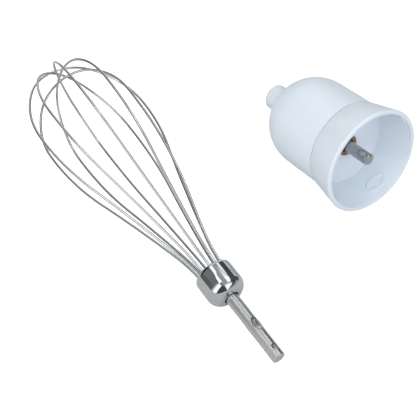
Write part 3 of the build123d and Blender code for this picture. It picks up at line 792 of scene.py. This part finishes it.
def stamp_gate_mark(mesh, sizes):
    """Sinks the small round mark that the mould's gate leaves on the dome."""
    around = Matrix.Rotation(sizes.gate_mark_azimuth, 3, "Z")
    down = Matrix.Rotation(-sizes.gate_mark_polar, 3, "Y")
    inwards = around @ down @ Vector((0, 0, 1))
    centre = Vector((0, 0, -sizes.body_length)) - inwards * sizes.body_radius
    radius = sizes.gate_mark_radius
    reach = GATE_MARK_REACH * radius
    near = [edge for edge in mesh.edges if all((vert.co - centre).length < reach for vert in edge.verts)]
    bmesh.ops.subdivide_edges(mesh, edges=near, cuts=GATE_MARK_CUTS, use_grid_fill=True)
    for vert in mesh.verts:
        apart = (vert.co - centre).length / radius
        if apart < 1.0:
            vert.co += inwards * sizes.gate_mark_depth * (1 - apart ** GATE_MARK_POWER)


class WHISK_OT_mould_bell(bpy.types.Operator):
    """Moulds the bell-shaped upper housing with its nub."""
    bl_idname = "whisk.mould_bell"
    bl_label = "Mould the Bell"

    def execute(self, context):
        sizes = context.scene.coupling_sizes
        mesh = turn_bell(sizes)
        stamp_gate_mark(mesh, sizes)
        place_piece("white_bell", mesh, coupling_place(), shell_plastic(), "white_housing", "upper_housing")
        return {"FINISHED"}


def skirt_wall_radius(sizes, station):
    rise = (sizes.mouth_inner_radius - sizes.floor_radius) / (sizes.skirt_depth + sizes.floor_depth)
    return sizes.floor_radius + rise * (station + sizes.floor_depth)


def turn_skirt(sizes):
    """Flared mouth with its rim, floor, the boss for the bush and the spigot into the bell."""
    step_r = sizes.body_radius + sizes.skirt_step
    flare = math.atan2(sizes.mouth_radius - step_r, sizes.skirt_depth)
    slope = math.atan2(sizes.mouth_inner_radius - sizes.floor_radius, sizes.skirt_depth + sizes.floor_depth)
    outer, inner, corner = sizes.mouth_round, sizes.mouth_inner_round, sizes.floor_corner
    outer_z = sizes.skirt_depth - outer
    outer_r = step_r + math.tan(flare) * outer_z - outer / math.cos(flare)
    inner_z = sizes.skirt_depth - inner
    inner_r = skirt_wall_radius(sizes, inner_z) + inner / math.cos(slope)
    corner_z = corner - sizes.floor_depth
    corner_r = skirt_wall_radius(sizes, corner_z) - corner / math.cos(slope)
    floor_back = -sizes.floor_depth - sizes.floor_thickness
    bore_r = sizes.body_radius - sizes.wall
    section = Profile(step_r, 0)
    section.line(outer_r + outer * math.cos(flare), outer_z - outer * math.sin(flare))
    section.arc(outer_r, outer_z, -90 - math.degrees(flare))
    section.line(inner_r, sizes.skirt_depth)
    section.arc(inner_r, inner_z, math.degrees(slope) - 90)
    section.line(corner_r + corner * math.cos(slope), corner_z - corner * math.sin(slope))
    section.arc(corner_r, corner_z, 90 - math.degrees(slope))
    section.line(sizes.floor_hole, -sizes.floor_depth)
    section.line(sizes.floor_hole, -sizes.input_boss)
    section.line(sizes.floor_hole + sizes.boss_wall, -sizes.input_boss)
    section.line(sizes.floor_hole + sizes.boss_wall, floor_back)
    section.line(bore_r - sizes.spigot_wall, floor_back)
    section.line(bore_r - sizes.spigot_wall, -sizes.spigot_end)
    section.line(bore_r, -sizes.spigot_end)
    section.line(bore_r, 0)
    mesh = section.turn()
    soften(mesh, sizes.edge_round, bore_r + EDGE_MARGIN)
    return mesh


def form_catches(sizes):
    """Two small blocks just inside the rim, each with a slope towards the mouth."""
    mesh = bmesh.new()
    reach, lead = sizes.catch_reach, sizes.catch_lead
    size = Vector((reach + sizes.catch_root, sizes.catch_width, sizes.catch_height))
    middle = Vector((
        sizes.mouth_inner_radius + (sizes.catch_root - reach) / 2, 0,
        sizes.skirt_depth - sizes.catch_depth - size.z / 2))
    bmesh.ops.create_cube(mesh, size=1.0)
    bmesh.ops.scale(mesh, vec=size, verts=mesh.verts)
    front = [vert for vert in mesh.verts if vert.co.x < 0 and vert.co.z > 0]
    bmesh.ops.translate(mesh, vec=(lead, 0, 0), verts=front)
    soften(mesh, sizes.edge_round)
    bmesh.ops.translate(mesh, vec=middle, verts=mesh.verts)
    bmesh.ops.rotate(
        mesh, cent=(0, 0, 0), matrix=Matrix.Rotation(sizes.catch_azimuth, 3, "Z"), verts=mesh.verts)
    whole = mesh.verts[:] + mesh.edges[:] + mesh.faces[:]
    bmesh.ops.spin(
        mesh, geom=whole, cent=(0, 0, 0), axis=(0, 0, 1), angle=math.pi, steps=1, use_duplicate=True)
    return mesh


def raise_pad(sizes):
    """Bare oval pad with a raised edge, bent to the skirt's inner wall."""
    mesh = bmesh.new()
    bmesh.ops.create_circle(mesh, cap_ends=True, segments=PAD_SEGMENTS, radius=1.0)
    bmesh.ops.scale(mesh, vec=(sizes.pad_length / 2, sizes.pad_width / 2, 1), verts=mesh.verts)
    bmesh.ops.translate(mesh, vec=(0, 0, -sizes.pad_relief), verts=mesh.verts)
    grown = bmesh.ops.extrude_face_region(mesh, geom=mesh.faces[:])["geom"]
    bmesh.ops.translate(mesh, vec=(0, 0, 2 * sizes.pad_relief), verts=only(bmesh.types.BMVert, grown))
    top = only(bmesh.types.BMFace, grown)
    bmesh.ops.inset_region(mesh, faces=top, thickness=sizes.pad_rim, depth=0.0, use_even_offset=True)
    field = {vert for face in top for vert in face.verts}
    bmesh.ops.translate(mesh, vec=(0, 0, -sizes.pad_relief / 2), verts=list(field))
    bmesh.ops.recalc_face_normals(mesh, faces=mesh.faces)
    soften(mesh, sizes.edge_round)
    half = math.floor(sizes.pad_length / 2 / MM)
    for cut in range(-half, half + 1):
        whole = mesh.verts[:] + mesh.edges[:] + mesh.faces[:]
        bmesh.ops.bisect_plane(
            mesh, geom=whole, plane_co=(cut * MM, 0, 0), plane_no=(1, 0, 0), dist=CUT_TOLERANCE)
    for vert in mesh.verts:
        station = sizes.pad_station + vert.co.y
        wall = skirt_wall_radius(sizes, station)
        turn = sizes.pad_azimuth + vert.co.x / wall
        vert.co = Vector((math.cos(turn), math.sin(turn), 0)) * (wall - vert.co.z) + Vector((0, 0, station))
    bmesh.ops.recalc_face_normals(mesh, faces=mesh.faces)
    return mesh


class WHISK_OT_mould_skirt(bpy.types.Operator):
    """Moulds the flared skirt with its catches and its bare oval pad."""
    bl_idname = "whisk.mould_skirt"
    bl_label = "Mould the Skirt"

    def execute(self, context):
        sizes = context.scene.coupling_sizes
        material = bpy.data.materials.get("moulded_white_abs") or shell_plastic()
        for name, mesh in (
                ("white_skirt", turn_skirt(sizes)), ("snap_catches", form_catches(sizes)),
                ("oval_pad", raise_pad(sizes))):
            place_piece(name, mesh, coupling_place(), material, "white_housing", "coupling_skirt")
        return {"FINISHED"}


class WHISK_OT_finish_gears(bpy.types.Operator):
    """Finishes the bushes, gears, pins, clips, washers and seal of the coupling."""
    bl_idname = "whisk.finish_gears"
    bl_label = "Finish the Gears"

    def execute(self, context):
        dress(sintered_bronze(), "input_bush", "output_bush")
        dress(gear_acetal(), "ring_gear", "gear_cover", "planet_gear_1", "planet_gear_2", "planet_gear_3")
        dress(
            gear_steel(), "sun_pinion", "input_washer", "output_washer", "planet_carrier", "output_spindle",
            "planet_pin_1", "planet_pin_2", "planet_pin_3")
        dress(spring_steel(), "input_circlip", "retaining_ring")
        dress(seal_rubber(), "shaft_seal")
        return {"FINISHED"}


# Stage

def floor_surface(studio):
    """Matt white table top: white to the eye, pale grey where the metal mirrors it."""
    material, tree = new_material("white_table")
    path = add_node(tree, "ShaderNodeLightPath")
    matt = add_node(tree, "ShaderNodeBsdfDiffuse", inputs={"Color": studio.table_white})
    total = 0.0
    for ray, strength in TABLE_GLOW:
        grown = add_node(
            tree, "ShaderNodeMath", operation="MULTIPLY_ADD",
            inputs={0: path.outputs[ray], 1: strength, 2: total})
        total = grown.outputs[0]
    glow = add_node(tree, "ShaderNodeEmission", inputs={"Color": srgb("#FFFFFF"), "Strength": total})
    both = add_node(tree, "ShaderNodeAddShader", inputs={0: matt.outputs[0], 1: glow.outputs[0]})
    add_node(tree, "ShaderNodeOutputMaterial", inputs={"Surface": both.outputs[0]})
    return material


def panel_shape(tree, panel, roll, slant, sway):
    """1 where the panel stands among the mirrored directions, with a soft edge."""
    swayed = add_node(
        tree, "ShaderNodeMath", operation="MULTIPLY_ADD", inputs={0: sway, 1: -panel.sway, 2: roll})
    leant = add_node(
        tree, "ShaderNodeMath", operation="MULTIPLY_ADD", inputs={0: roll, 1: -panel.lean, 2: slant})
    across = soft_band(tree, swayed.outputs[0], panel.roll_from, panel.roll_to, panel.edge)
    down = soft_band(tree, leant.outputs[0], panel.slant_from, panel.slant_to, panel.edge)
    return add_node(tree, "ShaderNodeMath", operation="MULTIPLY", inputs={0: across, 1: down}).outputs[0]


def tent_world(studio):
    """White tent: even light on matt surfaces, and panels and strips for metal to mirror."""
    world = bpy.data.worlds.new("photo_tent")
    world.use_nodes = True
    tree = world.node_tree
    tree.nodes.clear()
    direction = add_node(tree, "ShaderNodeTexCoord").outputs["Generated"]
    x, y, z = add_node(tree, "ShaderNodeSeparateXYZ", inputs={"Vector": direction}).outputs
    turns = (
        add_node(tree, "ShaderNodeMath", operation="ARCTAN2", inputs={0: y, 1: z}),
        add_node(tree, "ShaderNodeMath", operation="ARCSINE", inputs={0: x}),
    )
    roll, slant = (
        add_node(tree, "ShaderNodeMath", operation="DEGREES", inputs={0: turn.outputs[0]}).outputs[0]
        for turn in turns)
    sway = smooth_step(tree, slant, *SWAY_SLANTS)
    level = TENT_GAP
    for panel in PANELS:
        mixed = add_node(
            tree, "ShaderNodeMix", data_type="FLOAT", label=panel.name,
            inputs={"Factor": panel_shape(tree, panel, roll, slant, sway), "A": level, "B": panel.strength})
        level = mixed.outputs["Result"]
    facing = add_node(
        tree, "ShaderNodeVectorMath", operation="DOT_PRODUCT", inputs={0: direction, 1: OPEN_SIDE})
    matt = smooth_step(
        tree, facing.outputs["Value"], *OPEN_SPAN, studio.dome_strength, studio.end_strength)
    path = add_node(tree, "ShaderNodeLightPath")
    even = add_node(
        tree, "ShaderNodeMix", data_type="FLOAT",
        inputs={"Factor": path.outputs["Is Glossy Ray"], "A": matt, "B": level})
    seen = add_node(
        tree, "ShaderNodeMix", data_type="FLOAT",
        inputs={"Factor": path.outputs["Is Camera Ray"], "A": even.outputs["Result"], "B": 1.0})
    back = add_node(
        tree, "ShaderNodeBackground", inputs={"Color": srgb("#FFFFFF"), "Strength": seen.outputs["Result"]})
    add_node(tree, "ShaderNodeOutputWorld", inputs={"Surface": back.outputs[0]})
    return world


def aim(thing, place, target):
    """Points a lamp or the camera from its place at its target, upright."""
    thing.location = place
    thing.rotation_euler = (Vector(target) - Vector(place)).to_track_quat("-Z", "Y").to_euler()


class WHISK_OT_set_stage(bpy.types.Operator):
    """Sets the table, the tent, the soft lamp and the camera."""
    bl_idname = "whisk.set_stage"
    bl_label = "Set the Stage"

    def execute(self, context):
        scene = context.scene
        studio = scene.whisk_studio
        mesh = bmesh.new()
        bmesh.ops.create_grid(mesh, x_segments=1, y_segments=1, size=studio.floor_size)
        data = bpy.data.meshes.new("table_top")
        mesh.to_mesh(data)
        mesh.free()
        data.materials.append(floor_surface(studio))
        table = bpy.data.objects.new("table_top", data)
        scene.collection.objects.link(table)
        lamp = bpy.data.lights.new("soft_key", "AREA")
        lamp.shape = "DISK"
        lamp.size = studio.key_width
        lamp.energy = studio.key_power
        key = bpy.data.objects.new("soft_key", lamp)
        key.visible_glossy = False
        scene.collection.objects.link(key)
        aim(key, studio.key_place, (0, 0, 0))
        camera = bpy.data.objects.new("camera", bpy.data.cameras.new("camera"))
        camera.data.lens = studio.lens
        camera.data.sensor_width = SENSOR_WIDTH
        camera.data.clip_start = CLIP_START
        scene.collection.objects.link(camera)
        aim(camera, studio.camera_place, studio.camera_target)
        scene.camera = camera
        scene.world = tent_world(studio)
        scene.view_settings.view_transform = "Standard"
        return {"FINISHED"}


OPERATORS = (
    WHISK_OT_bend_wires,
    WHISK_OT_press_collar,
    WHISK_OT_grind_stubs,
    WHISK_OT_mould_bell,
    WHISK_OT_mould_skirt,
    WHISK_OT_finish_gears,
    WHISK_OT_set_stage,
)


class WHISK_PT_build(bpy.types.Panel):
    """Lists the steps and the sizes and colours they use."""
    bl_idname = "WHISK_PT_build"
    bl_label = "Whisk Attachment"
    bl_space_type = "VIEW_3D"
    bl_region_type = "UI"
    bl_category = "Whisk"

    def draw(self, context):
        for operator in OPERATORS:
            self.layout.operator(operator.bl_idname)
        for owner, settings in SETTINGS.items():
            box = self.layout.box()
            for name in settings.__annotations__:
                box.prop(getattr(context.scene, owner), name)


SETTINGS = {
    "whisk_sizes": WhiskSizes,
    "coupling_sizes": CouplingSizes,
    "whisk_finishes": WhiskFinishes,
    "whisk_studio": StudioSettings,
}


def register():
    for owner, settings in SETTINGS.items():
        bpy.utils.register_class(settings)
        setattr(bpy.types.Scene, owner, bpy.props.PointerProperty(type=settings))
    for kind in (*OPERATORS, WHISK_PT_build):
        bpy.utils.register_class(kind)


def unregister():
    for kind in (WHISK_PT_build, *reversed(OPERATORS)):
        bpy.utils.unregister_class(kind)
    for owner, settings in SETTINGS.items():
        delattr(bpy.types.Scene, owner)
        bpy.utils.unregister_class(settings)


def main():
    register()
    bpy.ops.whisk.bend_wires()
    bpy.ops.whisk.press_collar()
    bpy.ops.whisk.grind_stubs()
    bpy.ops.whisk.mould_bell()
    bpy.ops.whisk.mould_skirt()
    bpy.ops.whisk.finish_gears()
    bpy.ops.whisk.set_stage()


if __name__ == "__main__":
    main()
